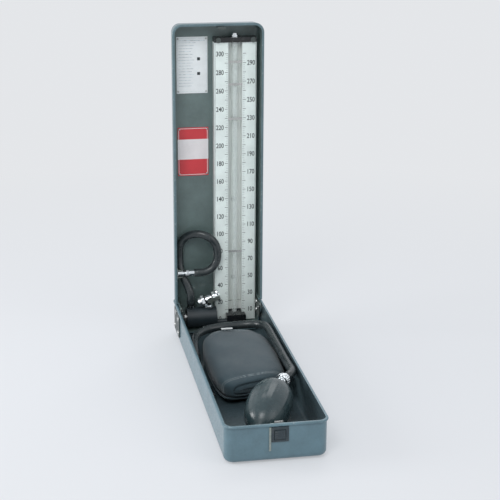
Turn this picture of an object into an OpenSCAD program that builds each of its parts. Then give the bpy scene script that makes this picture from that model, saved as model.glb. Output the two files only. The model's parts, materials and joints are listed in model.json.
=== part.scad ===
// Desk mercury blood pressure gauge in a hinged sheet-metal case, shown with its lid open.
// Frame: millimetres, +Z up, origin on the table under the middle of the tray,
// +X to the right and -Y towards the user, whose side has the latch.

/* [Case] */
// Length of the closed case, over the rolled rims
case_l = 344; // [336:1:360]
// Width of the case, over the rolled rims
case_w = 97; // [95:1:104]
// Height of the tray's rim above the table
tray_h = 38; // [38:0.5:40]
// Thickness of the sheet metal
wall = 1.2; // [0.9:0.1:1.4]
// Outer radius of the upright corners
corner_r = 9; // [8:0.5:12]
// Outer radius of the pressed edge between floor and wall
edge_r = 5; // [3.5:0.5:6]
// Diameter of the rolled rim
bead_d = 2.6; // [2.2:0.1:3]
// Diameter of a rubber foot
foot_d = 12; // [8:1:16]
// Height of a rubber foot
foot_h = 1.6; // [1:0.1:2]
// Distance of a foot's centre from the case's outline
foot_inset = 18; // [14:1:24]

/* [Hinge] */
// Distance of the hinge pins from the case's back end
pivot_back = 32; // [31:0.5:32.5]
// Diameter of the hinge pins
pin_d = 3; // [2.5:0.1:3.2]
// Gap between the closed rims
rim_gap = 0.4; // [0.2:0.1:0.8]
// Gap between the swinging end of the lid and the tray's back wall
swing_gap = 0.8; // [0.5:0.1:1.2]
// Gap between the swinging end of the lid and the tray's floor
floor_gap = 0.9; // [0.6:0.1:1]
// Gap between the lid's narrow end and the tray's side walls
neck_gap = 0.9; // [0.6:0.1:1.2]
// Radius of the narrow end's pressed edges
neck_r = 6; // [5:0.5:7]
// Thickness of the hinge plates
plate_t = 1.2; // [1:0.1:1.5]
// Diameter of the hinge plates' rivet shanks
rivet_d = 3; // [2.5:0.1:3.2]

/* [Latch] */
// Sideways place of the latch
latch_x = 2.5; // [-4:0.5:6]
// Width of the latch's cover plate
latch_w = 16; // [14:0.5:20]
// Height of the latch's cover plate
latch_h = 14.5; // [13:0.5:15]
// Width of the push button
button_w = 10; // [8:0.5:11]
// Height of the push button
button_h = 9; // [8:0.5:10]
// Travel of the push button
button_travel = 2.5; // [1.5:0.1:2.8]

/* [Pressure scale] */
// Height of the zero mark above the table
zero_z = 15.5; // [15:0.5:17]
// Scale length for one millimetre of mercury
mm_per_mmhg = 0.985; // [0.97:0.005:0.99]
// Highest pressure on the scale
max_mmhg = 300; // [280:10:300]
// Gap between the scale and the lid's right wall
scale_margin = 3.9; // [3.4:0.1:5]
// Width of the scale
scale_w = 45; // [44:0.5:46]
// Depth of the scale's face behind the lid's rim
scale_depth = 10; // [9.5:0.5:10.5]
// Width of the groove that holds the glass tube
groove_w = 15; // [13:0.5:16]
// Outer diameter of the glass tube
tube_d = 6.6; // [6:0.2:7]
// Bore of the glass tube
tube_bore = 4.2; // [3.6:0.1:4.6]
// Thickness of the printed scale plates
scale_t = 0.8; // [0.6:0.1:1]

/* [Mercury reservoir] */
// Outer diameter of the reservoir
reservoir_d = 22; // [20:0.5:23]
// Length of the reservoir
reservoir_l = 33; // [28:1:34]
// Wall of the reservoir
reservoir_wall = 2; // [1.5:0.1:2.5]
// Height of the reservoir's axis above the table
reservoir_z = 22; // [21.5:0.5:23]
// Diameter of the cock's barrel
cock_d = 9; // [8:0.5:10]
// Length of the cock's barrel
cock_l = 24; // [20:1:26]
// Slope of the cock's barrel
cock_slope = 18; // [10:1:22]

/* [Hoses] */
// Outer diameter of the rubber hoses
hose_d = 8.6; // [8:0.1:8.8]

/* [Cuff and bulb] */
// Length of the rolled cuff
cuff_l = 144; // [136:1:146]
// Width of the rolled cuff
cuff_w = 78; // [74:0.5:78.5]
// Height of the rolled cuff
cuff_h = 30.4; // [26:0.2:30.6]
// Largest diameter of the inflation bulb
bulb_d = 43; // [40:0.5:43.5]
// Length of the inflation bulb
bulb_l = 78; // [72:1:79]
// Direction of the bulb's axis on the table, from +X
bulb_turn = 66; // [64:1:68]
// Rise of the bulb's axis towards the valve
bulb_tilt = 8; // [6:0.5:9]
// Diameter of the knurled release wheel
wheel_d = 13.5; // [12:0.5:14]

/* [Hidden] */
$fn = 48;
// running gap, radial
run = 0.05;
// gap that keeps still pieces apart
gap = 0.3;

// case walls
rim_out = bead_d - wall;
half_l = case_l / 2;
wall_x = case_w / 2 - rim_out;
wall_y = half_l - rim_out;
in_x = wall_x - wall;
in_y = wall_y - wall;
floor_z = foot_h + wall;
tray_rim_under = tray_h - bead_d;

// hinge and the swing of the lid's narrow end; t is depth behind the pins, h is height over them
pivot_y = half_l - pivot_back;
swing_r = in_y - swing_gap - pivot_y;
pivot_z = floor_z + floor_gap + swing_r;
rim_t = tray_h - pivot_z + rim_gap;
lid_d = swing_r - rim_t;
back_t = swing_r - wall;
neck_x = in_x - neck_gap;
neck_h = rim_t + 0.6;
shoulder_step = 0.3;
lid_top_h = pivot_y + half_l;
lid_wall_h = lid_top_h - rim_out;
lid_top_in = pivot_z + lid_wall_h - wall;
lug_r = 6.5;
curve_r = swing_r - neck_r;
pin_head_d = 2 * (tray_rim_under - pivot_z) - 0.2;
pin_head_t = 0.9;
tray_plate_y0 = pivot_y - 20;
tray_plate_l = 36;
tray_plate_z0 = 9;
lid_plate_t0 = -lug_r;
lid_plate_l = 26;
lid_plate_h0 = -10;
lid_plate_hh = 17;
rivet_head_d = 5.4;
rivet_head_t = 1;

// latch
latch_top = tray_rim_under - 0.4;
latch_plate_t = 1;
guide_w = 2;
guide_z0 = 12;
button_z = latch_top - latch_h / 2 - 0.5;
button_back_y = -wall_y + 5.6;
hook_t = 1.2;
hook_top = tray_h - 0.6;
hook_nose_z = tray_h - 2.6;
hook_nose_y = -in_y + 3.4;
housing_t = 1.2;
housing_back_y = button_back_y + hook_t + button_travel + 2.1;
spring_d = 6;
keeper_t0 = 0.3;
keeper_lip = 1.6;

// pressure scale, seen as x, t and h
scale_x = in_x - scale_margin - scale_w / 2;
scale_x0 = scale_x - scale_w / 2;
scale_x1 = scale_x + scale_w / 2;
strip_w = (scale_w - groove_w) / 2;
face_t = rim_t + scale_depth;
web_t = face_t + scale_t;
sheet = 1.2;
scale_bottom_z = zero_z - 2.5;
scale_top_z = zero_z + max_mmhg * mm_per_mmhg + 12;
channel_z0 = pivot_z + 0.3;
tube_t = web_t + tube_d / 2;
tube_z0 = 19.6;
bracket_h = 5;
tube_z1 = scale_top_z + bracket_h - 1.5;
foot_t = web_t + tube_d + gap + sheet;
channel_foot_z = 23.4;
block_z1 = 22.2;
block_t0 = 6;
clip_z = [92, 240, 277, 301];
clip_h = 2.4;
clip_t = 0.5;
channel_rivet_z = [60, 150, 240, 318];

// reservoir, cock and pipe
reservoir_x = 26.4 - in_x;
reservoir_t = 9;
boss_d = 12;
boss_z = reservoir_z + reservoir_d / 2 + 0.5;
cock_x = reservoir_x + 8.5;
cock_z = boss_z + 8.5;
lever_pin_d = 4;
pipe_d = 6;
pipe_z = reservoir_z - 7.3;
pipe_t = reservoir_t;
block_z0 = pipe_z - pipe_d / 2 - 1;
nipple_x = reservoir_x - 11.5;
nipple_top_z = boss_z + 2.5;

// hose in the lid: connector, right leg, arch, left leg, nipple
hose_r = hose_d / 2;
connector_l = 18.2;
loop_a_x = connector_l + 0.7 - in_x;
loop_a_z = 73;
loop_a_t = 9.5;
loop_bend_r = 17.5;
loop_right_x = loop_a_x + hose_d + loop_bend_r;
loop_left_x = -(in_x - hose_r - 0.4);
loop_arch_z = 95;
loop_front_t = face_t - hose_r - 0.4;
loop_back_t = back_t - hose_r - 0.4;
loop_drop_z = 90;
loop_end_z = nipple_top_z + hose_d;

// contents of the tray
cuff_x = 2.5;
cuff_y = 23;
cuff_sides = 24;
cuff_rings = 22;
cuff_skew = 12;
tag_s = 0.8;
bulb_x = 5;
bulb_y = -107;
bulb_half = bulb_l / 2;
bulb_z = floor_z + gap
    + sqrt(pow(bulb_d / 2 * cos(bulb_tilt), 2) + pow(bulb_half * sin(bulb_tilt), 2));
bulb_neck_r = 6.2;
valve_l = 15;
valve_turn = 44;
side_x = in_x - hose_r - 0.5;
left_x = -side_x;
hose_floor_z = floor_z + hose_r + 0.3;
boot_y0 = -36;
boot_y1 = -6;
boot_w = 7.8;
gauge_hose_end = -88;

// the bulb's hose, from the cuff's boot round the back of the cuff to the release valve
function along_bulb(s) = [
    bulb_x + s * cos(bulb_tilt) * cos(bulb_turn),
    bulb_y + s * cos(bulb_tilt) * sin(bulb_turn),
    bulb_z + s * sin(bulb_tilt)
];
// the valve's axis meets the bulb's just past its neck and turns towards the hose
valve_base = along_bulb(bulb_half + 3.4);
function along_valve(s) = valve_base + s * [
    cos(bulb_tilt) * cos(valve_turn), cos(bulb_tilt) * sin(valve_turn), sin(bulb_tilt)
];
bulb_hose_points = [
    [left_x, boot_y1, hose_floor_z], [left_x, 0, hose_floor_z], [left_x, 8, hose_floor_z], [left_x, 22, 9], [left_x, 36, 14.5],
    [left_x, 50, 20.5], [-40.2, 62, 24.8], [-37.6, 73.5, 26.6], [-32.6, 84, 27],
    [-25.2, 92.4, 27], [-15.5, 98.2, 27], [-3, 101.4, 27], [11, 102.4, 27.2], [24, 101.2, 27.8],
    [34, 96, 29.2], [39.6, 86, 31], [side_x, 72, 31.8], [side_x, 54, 32],
    [side_x, 34, 32], [side_x, 12, 32], [side_x, -10, 32], [side_x, -29, 32.3],
    [side_x, -42.8, 33], [side_x - 2.2, -50.5, 33.6], along_valve(valve_l + 4), along_valve(valve_l + 2),
    along_valve(valve_l)
];
gauge_hose_points = [
    [left_x, boot_y0, hose_floor_z], [left_x, -48, hose_floor_z], [left_x, -60, hose_floor_z],
    [left_x, -74, hose_floor_z], [left_x, gauge_hose_end, hose_floor_z]
];

// ---------- helpers ----------

module in_lid() {
    translate([0, pivot_y, pivot_z]) children();
}

module both_sides() {
    children();
    mirror([1, 0, 0]) children();
}

// cylinder along +X, -Y or +Y from a point
module rod_x(d, l) {
    rotate([0, 90, 0]) cylinder(d = d, h = l);
}

module rod_y(d, l) {
    rotate([-90, 0, 0]) cylinder(d = d, h = l);
}

// wall of a pressed pan: u outward from the corner's centre, v up from the pan's floor
module pan_wall(h) {
    difference() {
        union() {
            translate([0, edge_r]) square([corner_r, h - edge_r]);
            square([corner_r - edge_r, edge_r]);
            translate([corner_r - edge_r, edge_r]) circle(edge_r);
        }
        translate([-1, edge_r]) square([corner_r - wall + 1, h]);
        translate([-1, wall]) square([corner_r - edge_r + 1, edge_r]);
        translate([corner_r - edge_r, edge_r]) circle(edge_r - wall);
    }
    translate([corner_r - wall + bead_d / 2, h - bead_d / 2]) circle(d = bead_d);
}

module pan_corner(x, y, a, h) {
    translate([x, y, 0]) rotate(a) rotate_extrude(angle = 90) pan_wall(h);
}

// straight wall of a pan whose outside faces +X, running from y0 to y1
module pan_side(x, y0, y1, h) {
    translate([x, y1, 0]) rotate([90, 0, 0]) linear_extrude(y1 - y0) pan_wall(h);
}

// straight wall of a pan whose outside faces +Y
module pan_end(x, y, h) {
    translate([-x, y, 0]) rotate([90, 0, 90]) linear_extrude(2 * x) pan_wall(h);
}

// a pan that is closed at +Y and open at y0
module half_pan(y0, y1, h) {
    cx = wall_x - corner_r;
    cy = y1 - corner_r;
    pan_corner(cx, cy, 0, h);
    mirror([1, 0, 0]) pan_corner(cx, cy, 0, h);
    both_sides() pan_side(cx, y0, cy, h);
    pan_end(cx, cy, h);
    translate([-cx, y0, 0]) cube([2 * cx, cy - y0, wall]);
}

// section of the lid's narrow end: first coordinate t, second x
module neck_section(inset) {
    x = neck_x - inset;
    r = neck_r - inset;
    t1 = swing_r - inset;
    translate([0, -x]) square([t1 - r, 2 * x]);
    translate([0, -x + r]) square([t1, 2 * (x - r)]);
    for (s = [-1, 1]) translate([t1 - r, s * (x - r)]) circle(r);
}

// web that closes the lid's wide part, let into its walls: first coordinate t, second x
module shoulder_section() {
    x = wall_x - wall / 2;
    r = edge_r - wall / 2;
    t0 = rim_t + shoulder_step;
    t1 = swing_r - wall / 2;
    translate([t0, -x]) square([t1 - r - t0, 2 * x]);
    translate([t0, -x + r]) square([t1 - t0, 2 * (x - r)]);
    for (s = [-1, 1]) translate([t1 - r, s * (x - r)]) circle(r);
}

module rounded_plate(w, h, t, r) {
    linear_extrude(t) {
        translate([r, 0]) square([w - 2 * r, h]);
        translate([0, r]) square([w, h - 2 * r]);
        for (x = [r, w - r], y = [r, h - r]) translate([x, y]) circle(r);
    }
}

// low domed head on a short shank, along +X, its shoulder at the origin
module rivet_x(shank_l) {
    translate([-shank_l, 0, 0]) rod_x(rivet_d, shank_l);
    rotate([0, 90, 0]) rotate_extrude() difference() {
        union() {
            square([rivet_head_d / 2 - rivet_head_t, rivet_head_t]);
            translate([rivet_head_d / 2 - rivet_head_t, 0]) circle(rivet_head_t);
        }
        translate([0, -2 * rivet_head_t]) square([rivet_head_d, 2 * rivet_head_t]);
        translate([-rivet_head_d, -rivet_head_d]) square([rivet_head_d, 2 * rivet_head_d]);
    }
}

// tube through a list of points, one ring at each
function unit(v) = v / norm(v);
function heading(p, i) =
    i == 0 ? unit(p[1] - p[0])
    : i == len(p) - 1 ? unit(p[i] - p[i - 1])
    : unit(unit(p[i] - p[i - 1]) + unit(p[i + 1] - p[i]));
function side_of(d, up) = unit(cross(d, up));
function ring(c, d, up, r, n) =
    let (a = side_of(d, up), b = cross(a, d))
    [for (k = [0:n - 1]) c + r * cos(360 * k / n) * a + r * sin(360 * k / n) * b];
module tube(p, r, n, up) {
    last = len(p) - 1;
    rings = [for (i = [0:last]) each ring(p[i], heading(p, i), up, r, n)];
    skin = [
        for (i = [0:last - 1], k = [0:n - 1])
            let (a = i * n + k, b = i * n + (k + 1) % n)
            each [[a, b, b + n], [a, b + n, a + n]]
    ];
    cap0 = [for (k = [1:n - 2]) [0, k + 1, k]];
    cap1 = [for (k = [1:n - 2]) [last * n, last * n + k, last * n + k + 1]];
    polyhedron(points = rings, faces = concat(skin, cap0, cap1));
}

function path_length(p) =
    len(p) < 2 ? 0
    : let (steps = [for (i = [1:len(p) - 1]) norm(p[i] - p[i - 1])]) steps * [for (s = steps) 1];

// smooth curve through hand-chosen points, with extra rings between them
function spline_at(p, i, f) =
    let (
        last = len(p) - 1,
        a = p[max(i - 1, 0)], b = p[i], c = p[min(i + 1, last)], d = p[min(i + 2, last)]
    )
    0.5 * (2 * b + f * (c - a) + f * f * (2 * a - 5 * b + 4 * c - d) + f * f * f * (3 * b - a - 3 * c + d));
function smooth_path(p, n) =
    [for (i = [0:len(p) - 2], k = [0:n - 1]) spline_at(p, i, k / n), p[len(p) - 1]];

function ease(f) = 0.5 - 0.5 * cos(180 * min(max(f, 0), 1));
function mix(a, b, f) = a + (b - a) * f;

// the lid's hose, worked out stretch by stretch in x, depth t and height z
loop_cx = (loop_right_x + loop_left_x) / 2;
loop_a = (loop_right_x - loop_left_x) / 2;
loop_points = concat(
    [[loop_a_x, loop_a_t, loop_a_z]],
    [for (i = [0:6]) let (f = i / 6)
        [loop_a_x + hose_d + loop_bend_r * sin(90 * f),
         mix(loop_a_t, loop_front_t, ease(f)),
         loop_a_z + loop_bend_r * (1 - cos(90 * f))]],
    [for (i = [0:12]) let (f = i / 12)
        [loop_cx + loop_a * cos(180 * f),
         mix(loop_front_t, loop_back_t, ease((f - 0.25) / 0.6)),
         loop_arch_z + loop_a * sin(180 * f)]],
    [for (i = [1:12]) let (f = i / 12, z = mix(loop_arch_z, loop_end_z, f))
        [mix(loop_left_x, nipple_x, ease((loop_drop_z - 10 - z) / (loop_drop_z - 10 - loop_end_z))),
         mix(loop_back_t, reservoir_t, ease((loop_drop_z - z) / (loop_drop_z - loop_end_z))),
         z]],
    [[nipple_x, reservoir_t, nipple_top_z]]
);
lid_hose_path = [for (p = loop_points) [p[0], pivot_y + p[1], p[2]]];
bulb_hose_path = smooth_path(bulb_hose_points, 3);

// least distance between stretches of the lid's hose that are more than 3 diameters apart on it
function far_pairs(p) = [
    for (i = [0:len(p) - 1], j = [i + 1:1:len(p) - 1])
        if (path_length([for (k = [i:j]) p[k]]) > 3 * hose_d) norm(p[i] - p[j])
];
echo(lid_hose_gap_to_itself = min(far_pairs(lid_hose_path)) - hose_d);
echo(lid_hose_length = path_length(lid_hose_path));
echo(bulb_hose_length = path_length(bulb_hose_path));
echo(gauge_hose_length = path_length(gauge_hose_points));

// ---------- tray ----------

module tray_shell() {
    color([0.42, 0.51, 0.54]) difference() {
        translate([0, 0, foot_h]) {
            half_pan(0, wall_y, tray_h - foot_h);
            mirror([0, 1, 0]) half_pan(0, wall_y, tray_h - foot_h);
        }
        both_sides() {
            translate([in_x - 1, pivot_y, pivot_z]) rod_x(pin_d + 2 * run, wall + 2);
            for (p = tray_rivet_spots()) translate([in_x - 1, p[0], p[1]]) rod_x(rivet_d, wall + 2);
        }
        translate([latch_x - button_w / 2 - gap, -wall_y - 1, button_z - button_h / 2 - gap])
            cube([button_w + 2 * gap, wall + 2, button_h + 2 * gap]);
    }
}

module rubber_feet() {
    color([0.12, 0.12, 0.13])
        for (x = [-1, 1], y = [-1, 1])
            translate([x * (case_w / 2 - foot_inset), y * (half_l - foot_inset), 0])
                cylinder(d = foot_d, h = foot_h);
}

function tray_rivet_spots() = [
    [tray_plate_y0 + 5, tray_plate_z0 + 5],
    [tray_plate_y0 + 5, tray_rim_under - 6],
    [tray_plate_y0 + tray_plate_l - 5, tray_plate_z0 + 5]
];

module tray_hinge_plates() {
    color([0.55, 0.56, 0.55]) both_sides() difference() {
        translate([wall_x, tray_plate_y0, tray_plate_z0])
            rotate([90, 0, 90])
                rounded_plate(tray_plate_l, tray_rim_under - 0.4 - tray_plate_z0, plate_t, 3);
        translate([wall_x - 1, pivot_y, pivot_z]) rod_x(pin_d + 2 * run, plate_t + 2);
        for (p = tray_rivet_spots()) translate([wall_x - 1, p[0], p[1]]) rod_x(rivet_d, plate_t + 2);
    }
}

module tray_hinge_rivets() {
    color([0.75, 0.75, 0.74]) both_sides()
        for (p = tray_rivet_spots()) translate([wall_x + plate_t, p[0], p[1]]) rivet_x(plate_t + wall);
}

module hinge_pins() {
    inner = neck_x - wall - plate_t - 1;
    color([0.72, 0.72, 0.72]) both_sides() translate([0, pivot_y, pivot_z]) {
        translate([inner, 0, 0]) rod_x(pin_d, wall_x + plate_t - inner);
        translate([wall_x + plate_t, 0, 0]) rod_x(pin_head_d, pin_head_t);
    }
}

// ---------- latch ----------

module latch_plate() {
    color([0.10, 0.12, 0.14]) difference() {
        translate([latch_x - latch_w / 2, -wall_y - latch_plate_t, latch_top - latch_h])
            cube([latch_w, latch_plate_t, latch_h]);
        translate([latch_x - button_w / 2 - gap, -wall_y - 2, button_z - button_h / 2 - gap])
            cube([button_w + 2 * gap, 3, button_h + 2 * gap]);
    }
}

module latch_guide() {
    color([0.75, 0.78, 0.79])
        translate([latch_x - latch_w / 2 - guide_w, -wall_y - 0.8, guide_z0])
            cube([guide_w, 0.8, latch_top - guide_z0]);
}

module latch_housing() {
    w = button_w + 2 * gap + 0.4;
    z0 = button_z - button_h / 2 - 1;
    h = button_h + 2;
    color([0.5, 0.52, 0.53]) {
        for (s = [-1, 1])
            translate([latch_x + s * (w + housing_t) / 2 - housing_t / 2, -in_y, z0])
                cube([housing_t, housing_back_y + in_y, h]);
        translate([latch_x - w / 2 - housing_t, housing_back_y, z0]) cube([w + 2 * housing_t, housing_t, h]);
    }
}

module latch_spring() {
    l = housing_back_y - button_back_y - hook_t - button_travel - 0.1;
    color([0.7, 0.7, 0.7]) difference() {
        translate([latch_x, housing_back_y - l, button_z]) rod_y(spring_d, l);
        translate([latch_x, housing_back_y - l - 1, button_z]) rod_y(spring_d - 2, l + 2);
    }
}

module latch_button() {
    color([0.09, 0.10, 0.12])
        translate([latch_x - button_w / 2, -half_l, button_z - button_h / 2])
            cube([button_w, half_l + button_back_y, button_h]);
}

module latch_hook() {
    w = button_w - 2;
    color([0.7, 0.7, 0.7]) translate([latch_x - w / 2, button_back_y, 0]) {
        translate([0, 0, button_z - button_h / 2]) cube([w, hook_t, hook_top - button_z + button_h / 2]);
        translate([0, hook_nose_y - button_back_y, hook_nose_z])
            cube([w, button_back_y - hook_nose_y + 0.1, hook_t]);
    }
}

// ---------- cuff, bulb and their hoses ----------

// height of the cuff's crest; s runs from -1 at its front end to 1 at its back end
function cuff_fullness(s) = pow(1 - pow(abs(s), 4.5), 1 / 4.5);
function cuff_top(s) = floor_z + gap + cuff_h / 2 * (1 + cuff_fullness(s));

// rolled cuff: superellipse sections with a flat base, drawn in towards both ends
module cuff_roll() {
    n = 3.2;
    z0 = floor_z + gap;
    function lobe(a, e) = sign(a) * pow(abs(a), e);
    function section(i) =
        let (
            s = -1 + 2 * i / cuff_rings,
            e = s > 0 ? 3 : 4.5,
            w = pow(1 - pow(abs(s), e), 1 / e),
            k = cuff_fullness(s)
        )
        [for (j = [0:cuff_sides - 1])
            let (
                a = 360 * j / cuff_sides,
                x = cuff_w / 2 * w * lobe(cos(a), 2 / n),
                z = cuff_h / 2 * (1 + k * lobe(sin(a), 2 / n)),
                front = max(-s, 0)
            )
            [cuff_x + x, cuff_y + s * cuff_l / 2 + cuff_skew * front * front * x / (cuff_w / 2), z0 + z]];
    rings = [for (i = [1:cuff_rings - 1]) each section(i)];
    m = cuff_sides;
    last = cuff_rings - 2;
    tips = [
        [cuff_x, cuff_y - cuff_l / 2, z0 + cuff_h / 2],
        [cuff_x, cuff_y + cuff_l / 2, z0 + cuff_h / 2]
    ];
    tip0 = len(rings);
    skin = [
        for (i = [0:last - 1], k = [0:m - 1])
            let (a = i * m + k, b = i * m + (k + 1) % m)
            each [[a, b, b + m], [a, b + m, a + m]]
    ];
    front_fan = [for (k = [0:m - 1]) [tip0, (k + 1) % m, k]];
    back_fan = [for (k = [0:m - 1]) [tip0 + 1, last * m + k, last * m + (k + 1) % m]];
    color([0.33, 0.36, 0.38])
        polyhedron(points = concat(rings, tips), faces = concat(skin, front_fan, back_fan));
}

module cuff_tag() {
    step = 0.02;
    tilt = atan2(cuff_top(tag_s + step) - cuff_top(tag_s - step), step * cuff_l);
    color([0.92, 0.93, 0.93])
        translate([cuff_x - 5, cuff_y + tag_s * cuff_l / 2, cuff_top(tag_s) + 0.2])
            rotate([tilt, 0, 0]) translate([-6, -2.5, 0]) cube([12, 5, 0.6]);
}

module bladder_boot() {
    color([0.10, 0.11, 0.12]) {
        translate([left_x, boot_y0, hose_floor_z]) rod_y(hose_d, boot_y1 - boot_y0);
        translate([left_x, boot_y0 + 4, hose_floor_z - 1.5]) cube([boot_w, boot_y1 - boot_y0 - 8, 3]);
    }
}

module bulb_hose() {
    color([0.11, 0.13, 0.14]) tube(bulb_hose_path, hose_r, 8, [0, 0, 1]);
}

module gauge_hose() {
    color([0.11, 0.13, 0.14]) tube(gauge_hose_points, hose_r, 8, [0, 0, 1]);
}

module gauge_hose_connector() {
    color([0.82, 0.84, 0.85]) translate([left_x, gauge_hose_end, hose_floor_z]) rotate([180, 0, 0]) {
        rod_y(7, 5);
        translate([0, 5, 0]) rod_y(9, 4);
        translate([0, 9, 0]) rod_y(6, 8);
        translate([0, 17, 0]) rod_y(4, 5);
    }
}

module on_bulb_axis() {
    translate([bulb_x, bulb_y, bulb_z]) rotate([0, 0, bulb_turn]) rotate([0, 90 - bulb_tilt, 0]) children();
}

// egg-shaped bulb with a short neck at each end
module inflation_bulb() {
    steps = 24;
    function bulb_r(s) = max(bulb_neck_r, bulb_d / 2 * sqrt(max(0, 1 - pow(abs(s), 2.3))));
    color([0.20, 0.25, 0.25]) on_bulb_axis() difference() {
        rotate_extrude() polygon(concat(
            [[0, -bulb_half]],
            [for (i = [0:steps]) let (s = -1 + 2 * i / steps) [bulb_r(s), s * bulb_half]],
            [[0, bulb_half]]
        ));
        for (s = [-1, 1]) translate([0, 0, s * (bulb_half - 2)]) cylinder(d = 7, h = 8, center = true);
    }
}

module bulb_inlet_valve() {
    color([0.80, 0.81, 0.82]) on_bulb_axis() {
        translate([0, 0, -bulb_half]) cylinder(d = 7, h = 5);
        translate([0, 0, -bulb_half - 2.5]) cylinder(d = 11, h = 2.5);
        translate([0, 0, -bulb_half - 6]) cylinder(d = 8, h = 3.5);
    }
}

module on_valve_axis() {
    translate(valve_base) rotate([0, 0, valve_turn]) rotate([0, 90 - bulb_tilt, 0]) children();
}

module release_valve_body() {
    color([0.82, 0.84, 0.85]) {
        on_bulb_axis() translate([0, 0, bulb_half - 5]) cylinder(d = 6.8, h = 8.4);
        on_valve_axis() {
            translate([0, 0, -1]) cylinder(d = 9, h = 4.5);
            cylinder(d = 7, h = valve_l - 1);
            translate([0, 0, 3.5]) cylinder(d = 11, h = 2.3);
            translate([0, 0, valve_l - 4]) cylinder(d = 10.5, h = 2);
            translate([0, 0, valve_l - 2]) cylinder(d = 7.4, h = 2);
        }
    }
}

// knurled wheel that turns on the valve to let air out
module release_wheel() {
    teeth = 20;
    color([0.74, 0.76, 0.77]) on_valve_axis() translate([0, 0, 6.2]) difference() {
        cylinder(d = wheel_d, h = 4.4);
        translate([0, 0, -1]) cylinder(d = 7 + 2 * run, h = 7);
        for (k = [0:teeth - 1]) rotate(360 * k / teeth)
            translate([wheel_d / 2 + 0.3, 0, -1]) cylinder(d = 1.4, h = 7, $fn = 16);
    }
}

// ---------- lid ----------

// outline of a hinge cheek: first coordinate t, second h
module cheek_outline() {
    circle(lug_r);
    translate([0, -lug_r]) square([rim_t, neck_h + lug_r]);
    translate([rim_t, 0]) square([curve_r - rim_t, neck_h]);
    intersection() {
        circle(curve_r);
        translate([rim_t, -curve_r]) square([curve_r - rim_t, curve_r]);
    }
}

// curved part of the narrow end's section, beyond the flat cheeks
module neck_band() {
    intersection() {
        difference() {
            neck_section(0);
            neck_section(wall);
        }
        translate([curve_r, -neck_x - 1]) square([neck_r + 1, 2 * neck_x + 2]);
    }
}

module lid_shell() {
    color([0.35, 0.40, 0.39]) in_lid() difference() {
        union() {
            translate([0, swing_r, 0]) rotate([90, 0, 0]) half_pan(neck_h, lid_wall_h, lid_d);
            translate([0, 0, neck_h]) rotate(90) mirror([0, 1, 0]) linear_extrude(wall) difference() {
                shoulder_section();
                neck_section(wall);
            }
            rotate(90) mirror([0, 1, 0]) linear_extrude(neck_h) neck_band();
            difference() {
                rotate([0, 90, 0]) rotate_extrude(angle = 90) neck_band();
                translate([-neck_x - 1, -1, -swing_r - 1]) cube([2 * neck_x + 2, rim_t + 1, swing_r + 2]);
            }
            both_sides() translate([neck_x - wall, 0, 0])
                rotate([90, 0, 90]) linear_extrude(wall) cheek_outline();
        }
        both_sides() {
            translate([neck_x - wall - 1, 0, 0]) rod_x(pin_d + 2 * run, wall + 2);
            for (p = lid_rivet_spots()) translate([neck_x - wall - 1, p[0], p[1]]) rod_x(rivet_d, wall + 2);
        }
        for (z = channel_rivet_z) translate([scale_x, back_t - 1, z - pivot_z]) rod_y(rivet_d, wall + 2);
    }
}

function lid_rivet_spots() = [
    [rim_t + 4.5, lid_plate_h0 + 4],
    [rim_t + 4.5, lid_plate_h0 + lid_plate_hh - 4]
];

module lid_hinge_plates() {
    color([0.55, 0.58, 0.57]) in_lid() both_sides() difference() {
        translate([neck_x - wall - plate_t, lid_plate_t0, lid_plate_h0])
            rotate([90, 0, 90]) rounded_plate(lid_plate_l, lid_plate_hh, plate_t, 3);
        translate([neck_x - wall - plate_t - 1, 0, 0]) rod_x(pin_d + 2 * run, plate_t + 2);
        for (p = lid_rivet_spots())
            translate([neck_x - wall - plate_t - 1, p[0], p[1]]) rod_x(rivet_d, plate_t + 2);
    }
}

module lid_hinge_rivets() {
    color([0.75, 0.75, 0.74]) in_lid() both_sides()
        for (p = lid_rivet_spots())
            translate([neck_x - wall - plate_t, p[0], p[1]]) mirror([1, 0, 0]) rivet_x(plate_t + wall);
}

module lid_keeper() {
    w = button_w - 2;
    top = lid_wall_h - wall;
    color([0.7, 0.7, 0.7]) in_lid() {
        translate([latch_x - w / 2, rim_t + 0.6, top - 1.5]) cube([w, 8, 1.5]);
        translate([latch_x - w / 2, keeper_t0, top - 1.5]) cube([w, rim_t + 0.7 - keeper_t0, 1]);
        translate([latch_x - w / 2, keeper_t0, top - 1.5 - keeper_lip]) cube([w, 1, keeper_lip + 0.1]);
    }
}

// ---------- pressure gauge ----------

// two webs and the groove between them, whose bottom lies at depth t1
module channel_section(t1) {
    for (x = [scale_x0, scale_x1 - strip_w]) translate([x, web_t]) square([strip_w, sheet]);
    for (x = [scale_x - groove_w / 2 - sheet, scale_x + groove_w / 2])
        translate([x, web_t]) square([sheet, t1 - web_t]);
    translate([scale_x - groove_w / 2 - sheet, t1 - sheet]) square([groove_w + 2 * sheet, sheet]);
}

// folded channel: two webs under the scale plates and a deep groove for the tube,
// shallower at its foot, where the lid's back curves in
module manometer_channel() {
    color([0.68, 0.71, 0.70]) in_lid() difference() {
        union() {
            translate([0, 0, channel_z0 - pivot_z]) linear_extrude(scale_top_z - channel_z0) {
                channel_section(back_t);
                for (x = [scale_x0, scale_x1 - sheet]) translate([x, web_t]) square([sheet, back_t - web_t]);
            }
            translate([0, 0, channel_foot_z - pivot_z]) linear_extrude(channel_z0 - channel_foot_z)
                channel_section(foot_t);
        }
        for (z = channel_rivet_z)
            translate([scale_x, back_t - sheet - 1, z - pivot_z]) rod_y(rivet_d, sheet + 2);
    }
}

module channel_rivets() {
    color([0.75, 0.75, 0.74]) in_lid()
        for (z = channel_rivet_z) translate([scale_x, swing_r, z - pivot_z]) {
            rotate([0, 0, 90]) rivet_x(wall + sheet);
            translate([0, -wall - sheet - 0.5, 0]) rod_y(rivet_head_d, 0.5);
        }
}

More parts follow.
